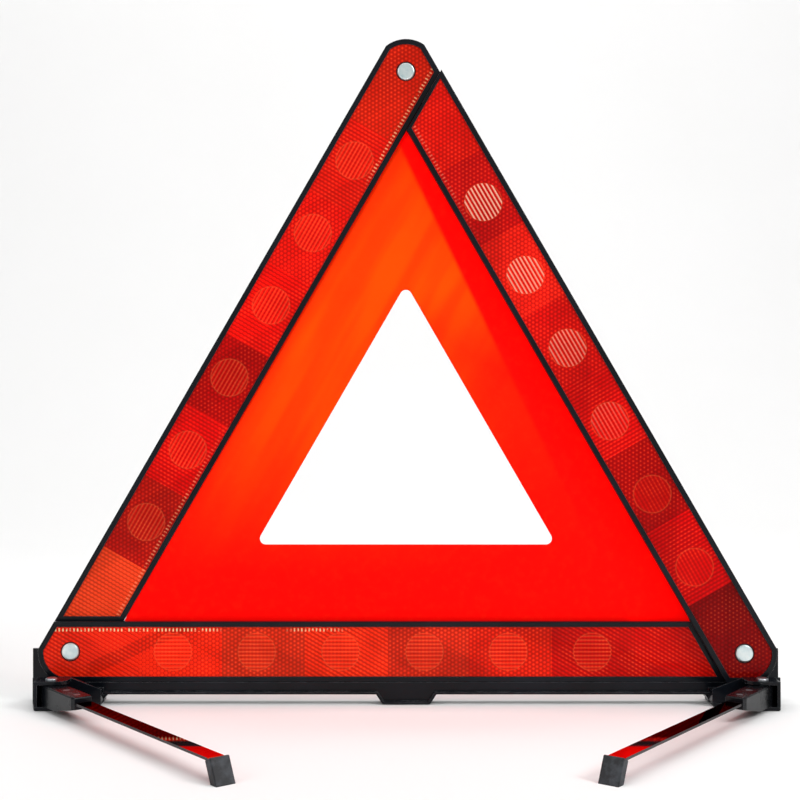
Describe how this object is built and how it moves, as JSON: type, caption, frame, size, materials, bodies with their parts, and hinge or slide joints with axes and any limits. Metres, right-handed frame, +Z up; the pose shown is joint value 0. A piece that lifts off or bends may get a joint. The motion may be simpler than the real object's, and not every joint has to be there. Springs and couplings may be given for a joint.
{
  "type": "warning triangle",
  "caption": "Folding roadside warning triangle: reflective red arms around a fluorescent cloth panel, on a black base with swivelling steel legs.",
  "frame": {"origin": "on the ground, midway between the two lower corner rivets and in the bottom arm's middle plane", "axes": "+Z up, +X to the right seen from the reflecting side, -Y towards the reflecting side's viewer"},
  "size_m": [0.452, 0.3492, 0.3985],
  "materials": {
    "black_plastic": "glossy moulded",
    "reflector": "clear red prismatic",
    "cloth": "fluorescent woven",
    "leg_steel": "polished",
    "toe_rubber": "matte",
    "screw_steel": "zinc plated",
    "rivet_metal": "bright zinc"
  },
  "bodies": {
    "base": {"base_body": "black_plastic", "base_cover_left": "black_plastic", "base_cover_right": "black_plastic", "base_cover_screws": "screw_steel", "bottom_arm_housing": "black_plastic", "bottom_arm_reflector": "reflector", "bottom_arm_screws": "screw_steel", "bottom_hem_rivets": "rivet_metal", "left_corner_rivet": "rivet_metal", "left_corner_washer": "rivet_metal", "right_corner_rivet": "rivet_metal", "right_corner_washer": "rivet_metal", "leg_pivot_pins": "screw_steel", "cloth_panel": "cloth"},
    "left_arm": {"left_arm_housing": "black_plastic", "left_arm_reflector": "reflector", "left_hem_rivets": "rivet_metal", "top_stud": "rivet_metal"},
    "right_arm": {"right_arm_housing": "black_plastic", "right_arm_reflector": "reflector", "right_hem_rivets": "rivet_metal", "top_catch": "black_plastic"},
    "front_left_leg": {"front_left_leg_knuckle": "black_plastic", "front_left_leg_blade": "leg_steel", "front_left_leg_rivets": "rivet_metal", "front_left_leg_toe": "toe_rubber"},
    "front_right_leg": {"front_right_leg_knuckle": "black_plastic", "front_right_leg_blade": "leg_steel", "front_right_leg_rivets": "rivet_metal", "front_right_leg_toe": "toe_rubber"},
    "rear_left_leg": {"rear_left_leg_knuckle": "black_plastic", "rear_left_leg_blade": "leg_steel", "rear_left_leg_rivets": "rivet_metal", "rear_left_leg_toe": "toe_rubber"},
    "rear_right_leg": {"rear_right_leg_knuckle": "black_plastic", "rear_right_leg_blade": "leg_steel", "rear_right_leg_rivets": "rivet_metal", "rear_right_leg_toe": "toe_rubber"}
  },
  "joints": [
    {"name": "left_fold", "type": "hinge", "parent": "base", "child": "left_arm", "pos_m": [-0.201, 0.0056, 0.031], "axis": [-0.0035, 1, 0.006], "range_deg": [0, 56], "deforming": ["cloth_panel"]},
    {"name": "right_fold", "type": "hinge", "parent": "base", "child": "right_arm", "pos_m": [0.201, -0.0056, 0.031], "axis": [0.0035, -1, 0.006], "range_deg": [0, 56], "deforming": ["top_catch"]},
    {"name": "front_left_swivel", "type": "hinge", "parent": "base", "child": "front_left_leg", "pos_m": [-0.2086, -0.017, 0.0088], "axis": [0, 0, 1], "range_deg": [0, 52.4]},
    {"name": "front_right_swivel", "type": "hinge", "parent": "base", "child": "front_right_leg", "pos_m": [0.2086, -0.017, 0.0088], "axis": [0, 0, -1], "range_deg": [0, 52.4]},
    {"name": "rear_left_swivel", "type": "hinge", "parent": "base", "child": "rear_left_leg", "pos_m": [-0.2086, 0.017, 0.0088], "axis": [0, 0, -1], "range_deg": [0, 52.4]},
    {"name": "rear_right_swivel", "type": "hinge", "parent": "base", "child": "rear_right_leg", "pos_m": [0.2086, 0.017, 0.0088], "axis": [0, 0, 1], "range_deg": [0, 52.4]}
  ],
  "couplings": [
    {"joint": "right_fold", "follows": "left_fold", "ratio": 1}
  ]
}
